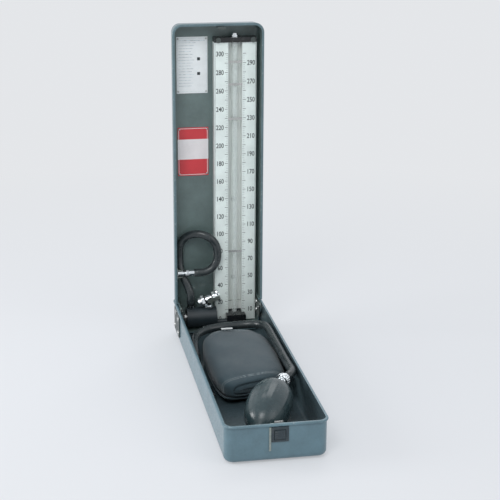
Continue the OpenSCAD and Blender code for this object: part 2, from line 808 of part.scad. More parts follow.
module scale_plate(x0) {
    in_lid() translate([x0, face_t, scale_bottom_z - pivot_z])
        cube([strip_w, scale_t, scale_top_z - scale_bottom_z]);
}

module scale_plate_left() {
    color([0.84, 0.89, 0.88]) scale_plate(scale_x0);
}

module scale_plate_right() {
    color([0.84, 0.89, 0.88]) scale_plate(scale_x1 - strip_w);
}

module glass_tube() {
    color([0.8, 0.88, 0.87, 0.4]) in_lid() translate([scale_x, tube_t, tube_z0 - pivot_z]) difference() {
        cylinder(d = tube_d, h = tube_z1 - tube_z0);
        translate([0, 0, -1]) cylinder(d = tube_bore, h = tube_z1 - tube_z0 + 2);
    }
}

module tube_clips() {
    color([0.86, 0.88, 0.87]) in_lid()
        for (z = clip_z)
            translate([scale_x - groove_w / 2, tube_t - tube_d / 2 - clip_t - 0.1, z - pivot_z])
                cube([groove_w, clip_t, clip_h]);
}

module top_bracket() {
    color([0.09, 0.10, 0.10]) in_lid() difference() {
        translate([scale_x0, face_t - 1.5, scale_top_z - pivot_z])
            cube([scale_w, back_t - face_t + 1.5, bracket_h]);
        translate([scale_x, tube_t, scale_top_z - pivot_z - 1]) cylinder(d = tube_d + 2 * run, h = bracket_h + 2);
        for (s = [-1, 1]) translate([scale_x + s * (scale_w / 2 - 4), face_t - 2.5, top_screw_h()])
            rod_y(rivet_d, 7);
    }
}

function top_screw_h() = scale_top_z + bracket_h / 2 - pivot_z;

module top_screws() {
    color([0.80, 0.82, 0.82]) in_lid()
        for (s = [-1, 1]) translate([scale_x + s * (scale_w / 2 - 4), face_t - 1.5, top_screw_h()]) {
            rod_y(rivet_d, 5.5);
            difference() {
                translate([0, -1.4, 0]) rod_y(5.6, 1.4);
                translate([-4, -1.5, -0.4]) cube([8, 0.7, 0.8]);
            }
        }
}

module top_gasket() {
    color([0.2, 0.1, 0.1]) in_lid() translate([scale_x, tube_t, tube_z1 - pivot_z]) difference() {
        cylinder(d = tube_d, h = 1.5);
        translate([0, 0, -1]) cylinder(d = tube_bore, h = 4);
    }
}

module tube_top_cap() {
    color([0.86, 0.88, 0.88]) in_lid() translate([scale_x, tube_t, scale_top_z + bracket_h - pivot_z]) {
        cylinder(d = 8, h = 2.4);
        translate([0, 0, 2.4]) cylinder(d = 5.6, h = 1.8);
    }
}

// black block that seats the tube's foot; its back follows the rounded end of the lid
module bottom_block() {
    h = block_z1 - block_z0;
    color([0.09, 0.10, 0.11]) in_lid() difference() {
        intersection() {
            union() {
                translate([scale_x - groove_w / 2 + 0.4, block_t0, block_z0 - pivot_z])
                    cube([groove_w - 0.8, back_t - 1.4 - block_t0, h]);
                translate([scale_x - groove_w / 2 - 3, block_t0, block_z0 - pivot_z])
                    cube([groove_w + 6, face_t - gap - block_t0, h]);
            }
            translate([scale_x - 20, 0, 0]) rod_x(2 * (back_t - 0.2), 40);
        }
        translate([scale_x, tube_t, tube_z0 - 1 - pivot_z]) cylinder(d = tube_d + 2 * run, h = h);
        translate([scale_x - groove_w / 2 - 4, pipe_t, pipe_z - pivot_z]) rod_x(pipe_d, 6);
    }
}

module bottom_gasket() {
    color([0.2, 0.1, 0.1]) in_lid() translate([scale_x, tube_t, tube_z0 - 1 - pivot_z]) difference() {
        cylinder(d = tube_d, h = 1);
        translate([0, 0, -1]) cylinder(d = tube_bore, h = 3);
    }
}

module mercury_pipe() {
    x0 = reservoir_x + reservoir_l / 2;
    x1 = scale_x - groove_w / 2 + 2;
    color([0.3, 0.33, 0.34]) in_lid() translate([x0, pipe_t, pipe_z - pivot_z]) difference() {
        rod_x(pipe_d, x1 - x0);
        translate([-1, 0, 0]) rod_x(3, x1 - x0 + 2);
    }
}

module reservoir_body() {
    color([0.13, 0.17, 0.19]) in_lid() difference() {
        union() {
            translate([reservoir_x - reservoir_l / 2, reservoir_t, reservoir_z - pivot_z])
                rod_x(reservoir_d, reservoir_l);
            for (x = [cock_x, nipple_x]) translate([x, reservoir_t, reservoir_z - pivot_z])
                cylinder(d = x == cock_x ? boss_d : 8, h = boss_z - reservoir_z);
            translate([reservoir_x - 8, reservoir_t, reservoir_z - 5 - pivot_z])
                cube([16, sqrt(pow(back_t, 2) - pow(reservoir_z - 5 - pivot_z, 2)) - reservoir_t - 0.4, 10]);
        }
        translate([reservoir_x - reservoir_l / 2 + reservoir_wall, reservoir_t, reservoir_z - pivot_z])
            rod_x(reservoir_d - 2 * reservoir_wall, reservoir_l - 2 * reservoir_wall);
        translate([reservoir_x + reservoir_l / 2 - reservoir_wall - 1, pipe_t, pipe_z - pivot_z])
            rod_x(3, reservoir_wall + 2);
    }
}

module reservoir_plug() {
    color([0.78, 0.80, 0.80]) in_lid()
        translate([reservoir_x - reservoir_l / 2 - 2.4, reservoir_t, reservoir_z - pivot_z]) difference() {
            rod_x(9, 2.4);
            translate([-1, -5, -0.6]) cube([2, 10, 1.2]);
        }
}

module mercury_charge() {
    r = reservoir_d / 2 - reservoir_wall - 0.02;
    color([0.78, 0.79, 0.80]) in_lid() intersection() {
        translate([reservoir_x - reservoir_l / 2 + reservoir_wall + 0.02, reservoir_t, reservoir_z - pivot_z])
            rod_x(2 * r, reservoir_l - 2 * reservoir_wall - 0.04);
        translate([reservoir_x - reservoir_l / 2, reservoir_t - r, reservoir_z - r - 1 - pivot_z])
            cube([reservoir_l, 2 * r, zero_z - (reservoir_z - r - 1)]);
    }
}

module air_nipple() {
    color([0.80, 0.82, 0.83]) in_lid() translate([nipple_x, reservoir_t, boss_z - pivot_z])
        cylinder(d = 8, h = nipple_top_z - boss_z);
}

module cock_body() {
    color([0.86, 0.88, 0.89]) in_lid() translate([cock_x, reservoir_t, cock_z - pivot_z]) difference() {
        union() {
            translate([0, 0, boss_z - cock_z]) cylinder(d = 7, h = cock_z - boss_z);
            translate([0, 0, boss_z - cock_z]) cylinder(d = 10, h = 1.2);
            rotate([0, -cock_slope, 0]) {
                translate([-cock_l / 2, 0, 0]) rod_x(cock_d, cock_l);
                translate([-cock_l / 2, 0, 0]) rod_x(cock_d + 1, 3);
                translate([cock_l / 2 - 4, 0, 0]) rod_x(cock_d + 1.6, 4);
            }
        }
        rotate([0, -cock_slope, 0]) translate([1, -cock_d / 2 - 2, 0]) rod_y(lever_pin_d + 2 * run, 5);
    }
}

// small lever that opens and shuts the mercury's way; its pin turns in the cock's barrel
module cock_lever() {
    color([0.20, 0.22, 0.23]) in_lid() translate([cock_x, reservoir_t, cock_z - pivot_z])
        rotate([0, -cock_slope, 0]) translate([1, -cock_d / 2 - 0.8 - gap, 0]) {
            rod_y(lever_pin_d, 3.5);
            translate([0, -1.6, 0]) rod_y(6.4, 1.6);
            translate([0, -1.6, -2]) cube([11, 1.6, 4]);
        }
}

module lid_hose() {
    color([0.11, 0.13, 0.14]) tube(lid_hose_path, hose_r, 6, [0, 1, 0.001]);
}

module lid_hose_connector() {
    color([0.86, 0.88, 0.89]) translate([loop_a_x, pivot_y + loop_a_t, loop_a_z]) mirror([1, 0, 0]) {
        rod_x(7, 6);
        translate([6, 0, 0]) rod_x(8, 3.2);
        translate([9.2, 0, 0]) rod_x(5, 3);
        translate([12.2, 0, 0]) rod_x(6.6, connector_l - 12.2);
    }
}

// spring clip on the lid's side wall that carries the connector's free end
module connector_clip() {
    end_x = loop_a_x - connector_l;
    color([0.45, 0.48, 0.48]) translate([0, pivot_y + loop_a_t, loop_a_z]) {
        translate([-in_x, -3, -6]) cube([in_x + end_x, 7, 12]);
        for (s = [-1, 1]) translate([-in_x, -2, s * 3.95 - 0.5]) cube([6, 4, 1]);
    }
}

module lid_label(x, z, w, h) {
    in_lid() translate([x, back_t - 0.5, z - pivot_z]) cube([w, 0.5, h]);
}

module instruction_plate() {
    color([0.88, 0.90, 0.90]) lid_label(4.4 - in_x, lid_top_in - 73.7, scale_x0 + in_x - 9.9, 60);
}

module red_white_plate() {
    color([0.78, 0.20, 0.22]) lid_label(4.9 - in_x, lid_top_in - 163.7, scale_x0 + in_x - 9.9, 53);
}

tray_shell();
rubber_feet();
tray_hinge_plates();
tray_hinge_rivets();
hinge_pins();
latch_plate();
latch_guide();
latch_housing();
latch_spring();
latch_button();
latch_hook();
cuff_roll();
cuff_tag();
bladder_boot();
bulb_hose();
gauge_hose();
gauge_hose_connector();
inflation_bulb();
bulb_inlet_valve();
release_valve_body();
release_wheel();
lid_shell();
lid_hinge_plates();
lid_hinge_rivets();
lid_keeper();
manometer_channel();
channel_rivets();
scale_plate_left();
scale_plate_right();
glass_tube();
tube_clips();
top_bracket();
top_gasket();
top_screws();
tube_top_cap();
bottom_block();
bottom_gasket();
mercury_pipe();
reservoir_body();
reservoir_plug();
mercury_charge();
air_nipple();
cock_body();
cock_lever();
lid_hose();
lid_hose_connector();
connector_clip();
instruction_plate();
red_white_plate();
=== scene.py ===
"""Looks of the desk blood pressure gauge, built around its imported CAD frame. Metres, Z up."""

import json
import math

import bpy
import numpy as np
from mathutils import Matrix, Vector


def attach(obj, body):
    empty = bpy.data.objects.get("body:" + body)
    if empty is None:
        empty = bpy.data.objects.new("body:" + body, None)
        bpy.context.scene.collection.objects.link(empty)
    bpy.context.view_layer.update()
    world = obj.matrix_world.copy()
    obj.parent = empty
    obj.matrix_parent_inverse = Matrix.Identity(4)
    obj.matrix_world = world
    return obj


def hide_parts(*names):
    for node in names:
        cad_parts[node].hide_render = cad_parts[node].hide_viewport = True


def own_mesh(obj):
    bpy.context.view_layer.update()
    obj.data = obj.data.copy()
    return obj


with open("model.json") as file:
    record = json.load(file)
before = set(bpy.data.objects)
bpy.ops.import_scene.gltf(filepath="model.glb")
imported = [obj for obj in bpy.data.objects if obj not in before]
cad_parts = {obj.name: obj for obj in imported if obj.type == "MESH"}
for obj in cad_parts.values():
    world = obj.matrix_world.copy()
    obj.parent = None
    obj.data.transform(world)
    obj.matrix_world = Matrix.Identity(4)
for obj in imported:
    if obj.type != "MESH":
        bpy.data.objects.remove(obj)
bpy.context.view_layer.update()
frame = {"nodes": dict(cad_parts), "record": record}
MM = 0.001
TAU = 2 * math.pi


# ---------- camera ----------

def make_camera():
    """The photograph's viewpoint, fitted to the printed scale and the case; a longer lens fills the frame."""
    place = (-0.23077, -1.25743, 0.55696)
    yaw, pitch, roll = 0.18666, 0.31159, 0.00535
    forward = Vector((math.sin(yaw) * math.cos(pitch), math.cos(yaw) * math.cos(pitch), -math.sin(pitch)))
    right = Vector((math.cos(yaw), -math.sin(yaw), 0))
    up = right.cross(forward)
    r = right * math.cos(roll) + up * math.sin(roll)
    u = up * math.cos(roll) - right * math.sin(roll)
    data = bpy.data.cameras.new("camera")
    data.lens = 99.0
    data.sensor_width = 36.0
    data.clip_start, data.clip_end = 0.05, 60
    cam = bpy.data.objects.new("camera", data)
    bpy.context.scene.collection.objects.link(cam)
    m = Matrix((r, u, -forward)).transposed().to_4x4()
    m.translation = place
    cam.matrix_world = m
    bpy.context.scene.camera = cam


make_camera()


# ---------- mesh helpers ----------

def piece(name, verts, faces, body, slot_name, smooth=True, replaces=(), uv=None):
    """A mesh object that rides on a body; slot_name is not used."""
    mesh = bpy.data.meshes.new(name)
    mesh.from_pydata([tuple(v) for v in verts], [], [tuple(f) for f in faces])
    mesh.validate()
    mesh.update()
    if smooth:
        mesh.shade_smooth()
    if uv is not None and len(mesh.vertices) == len(uv):
        a = mesh.attributes.new("cloth", "FLOAT_VECTOR", "POINT")
        a.data.foreach_set("vector", np.asarray(uv, np.float32).ravel())
    o = bpy.data.objects.new(name, mesh)
    bpy.context.scene.collection.objects.link(o)
    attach(o, body)
    if replaces:
        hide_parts(*replaces)
    return o


def grid_faces(rows, cols):
    """Quads of a grid of rows of points; each row closes on itself."""
    out = []
    for i in range(rows - 1):
        for k in range(cols):
            a, b = i * cols + k, i * cols + (k + 1) % cols
            out.append((a, b, b + cols, a + cols))
    return out


def frames_along(path):
    """Points with two directions square to the path, which turn as little as they can."""
    p = np.asarray(path, float)
    t = np.gradient(p, axis=0)
    t /= np.linalg.norm(t, axis=1)[:, None]
    side = np.cross(t[0], (0.1, 0.2, 1.0))
    side /= np.linalg.norm(side)
    sides = [side]
    for i in range(1, len(p)):
        s = sides[-1] - t[i] * (sides[-1] @ t[i])
        sides.append(s / np.linalg.norm(s))
    s = np.array(sides)
    return p, s, np.cross(t, s)


def tube_mesh(path, radius, sides=20):
    """Vertices and faces of a closed tube; radius is a function of the distance from its two ends."""
    p, s, u = frames_along(path)
    n = len(p)
    step = np.r_[0, np.cumsum(np.linalg.norm(np.diff(p, axis=0), axis=1))]
    verts = []
    for i in range(n):
        r = radius(step[i], step[-1] - step[i])
        for k in range(sides):
            a = TAU * k / sides
            verts.append(p[i] + r * (math.cos(a) * s[i] + math.sin(a) * u[i]))
    faces = grid_faces(n, sides)
    verts += [p[0], p[-1]]
    for k in range(sides):
        faces.append((n * sides, (k + 1) % sides, k))
        faces.append((n * sides + 1, (n - 1) * sides + k, (n - 1) * sides + (k + 1) % sides))
    return verts, faces


def lathe(name, profile, base, axis, body, slot_name, replaces=(), sides=48, shape=None):
    """Turned piece: profile is (radius, distance along the axis) in mm from the base point in mm."""
    d = Vector(axis).normalized()
    side = d.orthogonal().normalized()
    other = d.cross(side)
    verts = []
    for r, h in profile:
        for k in range(sides):
            a = TAU * k / sides
            rr = r if shape is None else shape(r, h, a)
            verts.append((Vector(base) + d * h + (side * math.cos(a) + other * math.sin(a)) * rr) * MM)
    o = piece(name, verts, grid_faces(len(profile), sides), body, slot_name, replaces=replaces)
    o.data.set_sharp_from_angle(angle=math.radians(38))
    return o


def knurl(from_r, ridges, depth):
    """Shape for lathe(): lengthwise ridges on whatever stands out past from_r."""
    return lambda r, h, a: r + (depth * math.cos(ridges * a) if r > from_r else 0)


def rounded(points, r, steps=4):
    """A profile whose corners are rounded by r."""
    p = [np.array(q, float) for q in points]
    out = [p[0]]
    for a, b, c in zip(p, p[1:], p[2:]):
        u, v = a - b, c - b
        lu, lv = np.linalg.norm(u), np.linalg.norm(v)
        k = min(r, 0.48 * lu, 0.48 * lv)
        s, e = b + u / lu * k, b + v / lv * k
        for i in range(steps + 1):
            f = i / steps
            out.append((1 - f) ** 2 * s + 2 * f * (1 - f) * b + f * f * e)
    out.append(p[-1])
    return [tuple(q) for q in out]


def spline(points, n):
    """Smooth curve through the points, as in the CAD source, with n steps between two of them."""
    p = [np.array(q, float) for q in points]
    out = []
    for i in range(len(p) - 1):
        a, b, c, d = p[max(i - 1, 0)], p[i], p[i + 1], p[min(i + 2, len(p) - 1)]
        for k in range(n):
            f = k / n
            out.append(0.5 * (2 * b + f * (c - a) + f * f * (2 * a - 5 * b + 4 * c - d)
                              + f ** 3 * (3 * b - a - 3 * c + d)))
    return np.array(out + [p[-1]])


# ---------- hoses ----------

HOSE_R = 4.3
LANE_X, LANE_Z = -41.1, 7.4  # the hoses' lane on the floor, between the cuff and the left wall
PIVOT_Y = 140  # the hinge pins; t in a lid route is measured back from them
LOOP_X, LOOP_T, LOOP_Z = -27, 9.5, 73  # where the lid's hose leaves its connector
BULB = np.array((5.0, -107.0, 25.075))
BULB_HALF = 39.0


def rising(turn, tilt=8):
    """Direction turned from +X on the table and raised, both in degrees."""
    a, b = math.radians(turn), math.radians(tilt)
    return np.array((math.cos(b) * math.cos(a), math.cos(b) * math.sin(a), math.sin(b)))


BULB_AXIS, VALVE_AXIS = rising(66), rising(44)
VALVE_BASE = BULB + (BULB_HALF + 3.4) * BULB_AXIS


def along_valve(s):
    """A point of the release valve's own axis, s mm out from its base."""
    return tuple(VALVE_BASE + s * VALVE_AXIS)


def ease(f):
    """0 to 1 with a soft start and a soft end."""
    return 0.5 - 0.5 * math.cos(math.pi * min(max(f, 0), 1))


def mix(a, b, f):
    return a + (b - a) * f


def lid_hose_points():
    """Connector, right leg, arch and left leg down to the reservoir: the CAD source's route."""
    ax, at, az, bend = LOOP_X, LOOP_T, LOOP_Z, 17.5
    right, left = ax + 2 * HOSE_R + bend, -41.2
    cx, a = (right + left) / 2, (right - left) / 2
    front, back, arch, drop, end = 11.4, 22.7, 95, 90, 44.6
    end_x, end_t = -31, 9
    pts = [(ax, at, az)]
    for i in range(7):
        f = i / 6
        pts.append((ax + 2 * HOSE_R + bend * math.sin(f * TAU / 4), mix(at, front, ease(f)),
                    az + bend * (1 - math.cos(f * TAU / 4))))
    for i in range(13):
        f = i / 12
        pts.append((cx + a * math.cos(math.pi * f), mix(front, back, ease((f - 0.25) / 0.6)),
                    arch + a * math.sin(math.pi * f)))
    for i in range(1, 13):
        z = mix(arch, end, i / 12)
        x = mix(left, end_x, ease((drop - 10 - z) / (drop - 10 - end)))
        pts.append((x, mix(back, end_t, ease((drop - z) / (drop - end))), z))
    pts.append((end_x, end_t, 36))
    return [(x, PIVOT_Y + t, z) for x, t, z in pts]


bulb_hose_points = [
    (-41.1, -6, 7.4), (-41.1, 0, 7.4), (-41.1, 8, 7.4), (-41.1, 22, 9), (-41.1, 36, 14.5), (-41.1, 50, 20.5),
    (-40.2, 62, 24.8), (-37.6, 73.5, 26.6), (-32.6, 84, 27), (-25.2, 92.4, 27), (-15.5, 98.2, 27),
    (-3, 101.4, 27), (11, 102.4, 27.2), (24, 101.2, 27.8), (34, 96, 29.2), (39.6, 86, 31), (41.1, 72, 31.8),
    (41.1, 54, 32), (41.1, 34, 32), (41.1, 12, 32), (41.1, -10, 32), (41.1, -29, 32.3), (41.1, -42.8, 33),
    (38.9, -50.5, 33.6), along_valve(19), along_valve(17), along_valve(15),
]
gauge_hose_points = [(LANE_X, y, LANE_Z) for y in (-36, -48, -60, -74, -88)]


def hose(name, points, body, swell, steps=4):
    """A rubber hose on its route, a little wider where it is pushed over a fitting."""
    path = spline(points, steps) * MM

    def radius(a, b):
        wide = sum(k * math.exp(-((d - 0.0022) / 0.0022) ** 4) for k, d in zip(swell, (a, b)))
        return (HOSE_R - 0.02 + wide) * MM - 0.35 * MM * sum(math.exp(-d / 0.0003) for d in (a, b))

    verts, faces = tube_mesh(path, radius, 24)
    o = piece(name, verts, faces, body, "hose_rubber", replaces=[name.replace("_tube", "")])
    return o


# ---------- connectors, boot and bulb ----------

def connectors():
    """Plated push connectors with a knurled ring, in place of their plain CAD solids."""
    tray = rounded([
        (0, -3.5), (3.35, -3.5), (3.5, 4.6), (3.1, 4.8), (3.1, 5), (4.4, 5.15), (4.4, 8.9), (3.2, 9),
        (2.9, 9.4), (2.95, 16.6), (2.2, 17), (1.95, 21.6), (1.5, 22), (1.3, 21.6), (1.3, 18), (0, 18),
    ], 0.25)
    lid = rounded([
        (0, -3), (3.3, -3), (3.45, 5.8), (3.0, 6), (3.85, 6.15), (3.95, 9.1), (2.6, 9.2), (2.4, 9.6),
        (2.4, 12), (3.2, 12.25), (3.3, 17.9), (2.4, 18.15), (0, 18.15),
    ], 0.25)
    return (
        lathe("tray_connector", tray, (LANE_X, -88, LANE_Z), (0, -1, 0), "tray", "chrome_plate",
              ["gauge_hose_connector"], sides=104, shape=knurl(4.2, 26, 0.12)),
        lathe("lid_connector", lid, (LOOP_X, PIVOT_Y + LOOP_T, LOOP_Z), (-1, 0, 0), "lid", "chrome_plate",
              ["lid_hose_connector"], sides=104, shape=knurl(3.7, 24, 0.1)),
    )


def boot():
    """Moulded rubber branch on the bladder: ribbed sleeve with a flat tongue into the cuff."""
    prof = [(0, 0.6), (4.05, 0.6), (4.5, 0.2), (4.5, 2.4), (4.1, 2.8)]
    for k in range(7):
        y = 5 + k * 2.9
        prof += [(4.1, y), (4.42, y + 0.5), (4.42, y + 1.3), (4.1, y + 1.8)]
    prof += [(4.1, 27.2), (4.5, 27.6), (4.5, 29.8), (4.05, 29.4), (0, 29.4)]
    sleeve = lathe("bladder_branch", rounded(prof, 0.3, 3), (LANE_X, -36, LANE_Z), (0, 1, 0), "tray",
                   "hose_rubber", ["bladder_boot"], sides=40)
    verts, n, m = [], 14, 20
    for i in range(n):
        f = i / (n - 1)
        x = mix(-39.5, -33.2, f)
        half_l, half_t = 9.0 + 2.2 * f * f, 1.9 - 0.7 * f
        for k in range(m):
            a = TAU * k / m
            c, s = math.cos(a), math.sin(a)
            verts.append((x * MM, (-21 + half_l * math.copysign(abs(c) ** 0.5, c)) * MM,
                          (LANE_Z + half_t * math.copysign(abs(s) ** 0.7, s)) * MM))
    faces = grid_faces(n, m) + [tuple(range(m - 1, -1, -1)), tuple(range((n - 1) * m, n * m))]
    return sleeve, piece("bladder_tongue", verts, faces, "tray", "hose_rubber")


def bulb():
    """Squeeze bulb: the CAD's egg form with rounded collars, mould parting lines and faint flats."""
    half, widest, rows = BULB_HALF, 21.5, 72
    prof = [(0, -half + 1.4), (3.4, -half + 1.4), (3.6, -half + 0.4), (4.4, -half - 0.3), (5.5, -half - 0.2),
            (6.1, -half + 0.5)]
    for i in range(1, rows):
        s = -1 + 2 * i / rows
        neck_r = 6.2 - 0.5 * (1 - min(1, (1 - abs(s)) / 0.05)) ** 2
        prof.append((max(neck_r, widest * math.sqrt(1 - abs(s) ** 2.3)), s * half))
    prof += [(6.1, half - 0.5), (5.5, half + 0.2), (4.4, half + 0.3), (3.6, half - 0.4), (3.4, half - 1.4),
             (0, half - 1.4)]

    def shape(r, h, a):
        f = max(0.0, 1 - (h / 37) ** 2)
        seam = 0.16 * math.exp(-(math.sin(a) / 0.035) ** 2) if r > 6 else 0
        flute = -0.16 * f * (0.5 + 0.5 * math.cos(28 * a)) if r > 12 else 0
        return r + seam + flute - 0.1

    return lathe("squeeze_bulb", prof, BULB, BULB_AXIS, "tray", "bulb_rubber", ["inflation_bulb"],
                 sides=168, shape=shape)


def feet():
    """Moulded rubber feet with a recess for the rivet that holds each."""
    prof = [(0, 0.7), (2.2, 0.7), (2.5, 0.05), (3.0, 0.0), (5.2, 0.0), (5.85, 0.45), (6.0, 1.58), (0, 1.58)]
    foot_x, foot_y = 30.5, 154
    verts, faces, m = [], [], 40
    for cx in (-foot_x, foot_x):
        for cy in (-foot_y, foot_y):
            start = len(verts)
            for r, h in rounded(prof, 0.25, 3):
                for k in range(m):
                    a = TAU * k / m
                    verts.append(((cx + r * math.cos(a)) * MM, (cy + r * math.sin(a)) * MM, h * MM))
            rows = (len(verts) - start) // m
            faces += [tuple(start + i for i in f) for f in grid_faces(rows, m)]
    return piece("moulded_feet", verts, faces, "tray", "foot_rubber", replaces=["rubber_feet"])


LATCH_X, LATCH_Z = 2.5, 27.25


def spring():
    """Coil behind the push button."""
    y0, y1 = -163.8, -159.25
    coil_r, wire_r, turns, steps = 2.4, 0.24, 4.5, 110
    path = []
    for i in range(steps + 1):
        a = TAU * turns * i / steps
        y = y0 + 0.25 + (y1 - y0 - 0.5) * i / steps
        path.append((LATCH_X + coil_r * math.cos(a), y, LATCH_Z + coil_r * math.sin(a)))
    verts, faces = tube_mesh(np.array(path) * MM, lambda a, b: wire_r * MM, 8)
    o = piece("latch_coil", verts, faces, "tray", "bright_steel", replaces=["latch_spring"])
    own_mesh(o)
    return o


def cock_rings():
    """Union nuts, a knurled ring and dark gaps on the cock's sloping barrel."""
    slope = math.radians(18)
    axis = (math.cos(slope), 0, math.sin(slope))
    centre = np.array((-11.0, 149.0, 42.0))

    def at(s):
        return tuple(centre + s * np.array(axis))

    def hexagon(r, h, a):
        return r if r < 4.9 else r * min(1.0, 0.9 / math.cos((a + math.pi / 6) % (math.pi / 3) - math.pi / 6))

    nut = rounded([(4.5, 0), (6.4, 0), (6.4, 3.4), (4.5, 3.4)], 0.35)
    nuts = [lathe(name, nut, at(s), axis, "lid", "chrome_plate", sides=96, shape=hexagon)
            for name, s in (("cock_nut_left", -8.4), ("cock_nut_right", 4.4))]
    ring = rounded([(4.5, 0), (6.3, 0), (6.3, 2.6), (4.5, 2.6)], 0.3)
    nuts.append(lathe("cock_knurl", ring, at(9.1), axis, "lid", "chrome_plate", sides=120,
                      shape=knurl(5.2, 30, 0.2)))
    gaps = []
    for i, (s, wide) in enumerate(((-5.0, 1.5), (2.9, 1.4), (7.7, 1.3))):
        band = [(4.4, 0), (5.2, 0.05), (5.2, wide), (4.4, wide + 0.05)]
        gaps.append(lathe("cock_gap_%d" % i, band, at(s), axis, "lid", "block_black"))
    return nuts, gaps


# ---------- rolled cuff ----------

CUFF = (2.5, 23.0)
CUFF_HALF_X, CUFF_HALF_Y, CUFF_HALF_Z = 39, 72, 15.2
CUFF_Z = 3.1 + CUFF_HALF_Z
TURNS, PITCH, CLOTH_T = 4.6, 3.0, 2.5


def lobe(v):
    """Sine or cosine of a rounded rectangle instead of an ellipse."""
    return math.copysign(abs(v) ** (2 / 3.2), v)


def cuff_point(angle, depth, s):
    """A point of the roll: angle round it, depth in mm under its outside, s from -1 at the front to 1."""
    e = 3 if s > 0 else 4.5
    w = (1 - abs(s) ** e) ** (1 / e)
    k = (1 - abs(s) ** 4.5) ** (1 / 4.5)
    front = max(-s, 0)
    hx = max(CUFF_HALF_X * w - depth, 2.0 * w)
    hz = max(CUFF_HALF_Z * k - depth, 0.35)
    x = hx * lobe(math.cos(angle))
    z = hz * lobe(math.sin(angle))
    wave = 0.0
    if depth < 4:
        wave = 0.35 * math.sin(2.3 * angle + 4.1 * s) * math.sin(5.2 * s + 1.3)
        wave += 0.22 * math.sin(5 * angle - 9 * s)
        wave -= 0.55 * math.exp(-((abs(s) - 0.8) / 0.03) ** 2)
        wave -= 0.35
    n = Vector((lobe(math.cos(angle)), 0, lobe(math.sin(angle))))
    y = s * CUFF_HALF_Y + 12 * front * front * x / CUFF_HALF_X
    return Vector((CUFF[0] + x, CUFF[1] + y, CUFF_Z + z)) + n * wave


def spiral(f):
    """Angle and depth at share f of the winding, from the free outer end inward."""
    turn_at = TURNS * f
    angle = math.radians(208) + TAU * turn_at
    return angle, PITCH * turn_at + CLOTH_T / 2 + 0.1


def cuff():
    """One cloth band wound up: every turn is a slab with rounded edges, so both ends show the winding."""
    rows, across = int(TURNS * 60), 44
    edge = 6
    verts, uv = [], []
    length = 0.0
    previous = None
    for i in range(rows + 1):
        f = i / rows
        angle, depth = spiral(f)
        half = 0.90 + 0.012 * min(depth, 6)
        end_taper = min(1.0, f * rows / 2.5, (1 - f) * rows / 2.5 + 0.2)
        t = CLOTH_T / 2 * (0.35 + 0.65 * math.sqrt(end_taper))
        mid = cuff_point(angle, depth, 0)
        length += 0 if previous is None else (mid - previous).length
        previous = mid
        loop = []
        for k in range(across):
            s = -half + 2 * half * k / (across - 1)
            loop.append((s, -t, 0))
        for k in range(1, edge):
            a = math.pi * k / edge
            loop.append((half + t * math.sin(a) / CUFF_HALF_Y, -t * math.cos(a), 1))
        for k in range(across):
            s = half - 2 * half * k / (across - 1)
            loop.append((s, t, 2))
        for k in range(1, edge):
            a = math.pi * k / edge
            loop.append((-half - t * math.sin(a) / CUFF_HALF_Y, t * math.cos(a), 3))
        for s, off, side in loop:
            p = cuff_point(angle, depth + off, max(-0.985, min(0.985, s)))
            verts.append(p * MM)
            uv.append((length * MM, s * CUFF_HALF_Y * MM, 0.0 if side in (0, 1) else 1.0))
    m = 2 * across + 2 * (edge - 1)
    faces = [tuple(reversed(q)) for q in grid_faces(rows + 1, m)]
    faces += [tuple(range(m)), tuple(range((rows + 1) * m - 1, rows * m - 1, -1))]
    o = piece("rolled_cuff", verts, faces, "tray", "cuff_cloth", replaces=["cuff_roll"], uv=uv)
    return o


def cuff_stitches():
    """Two rows of stitches along each edge of the outer turn, and one across its free end."""
    verts, faces = [], []
    half_wide = 0.22 * MM

    def stitch(a, b, n):
        d = (b - a).normalized()
        c = d.cross(n).normalized() * half_wide
        lift = n * 0.16 * MM
        base = len(verts)
        for f, h, w in ((0, 0, 0.6), (0.25, 1, 1), (0.75, 1, 1), (1, 0, 0.6)):
            p = a.lerp(b, f)
            verts.extend([p + c * w, p + lift * h + c * w * 0.4, p + lift * h - c * w * 0.4, p - c * w])
        for i in range(3):
            for k in range(3):
                q = base + 4 * i + k
                faces.append((q, q + 4, q + 5, q + 1))

    def at(f, s):
        angle, depth = spiral(f)
        p = cuff_point(angle, depth - CLOTH_T / 2 - 0.04, s)
        q = cuff_point(angle, depth, s)
        return p * MM, (p - q).normalized()

    per_row, across_end = 62, 40
    for s in (-0.862, -0.828, 0.828, 0.862):
        for i in range(per_row):
            f0 = (0.02 + 0.96 * i / per_row) / TURNS
            f1 = (0.02 + 0.96 * (i + 0.66) / per_row) / TURNS
            (a, na), (b, _) = at(f0, s), at(f1, s)
            stitch(a, b, na)
    free_end = 0.018 / TURNS * 1.6
    for i in range(across_end):
        s = -0.80 + 1.6 * i / across_end
        (a, na), (b, _) = at(free_end, s), at(free_end, s + 0.026)
        stitch(a, b, na)
    return piece("cuff_stitches", verts, faces, "tray", "cuff_cloth")


# ---------- printed marks and small details ----------

ZERO_Z, MM_PER_MMHG = 15.5, 0.985
FIGURES_Y, LINES_Y, PLATES_Y = 156.03, 156.1, 166.9  # faces that the prints lie on


def scale_z(value):
    """Height of a mark of the scale, value in mm of mercury."""
    return ZERO_Z + MM_PER_MMHG * value


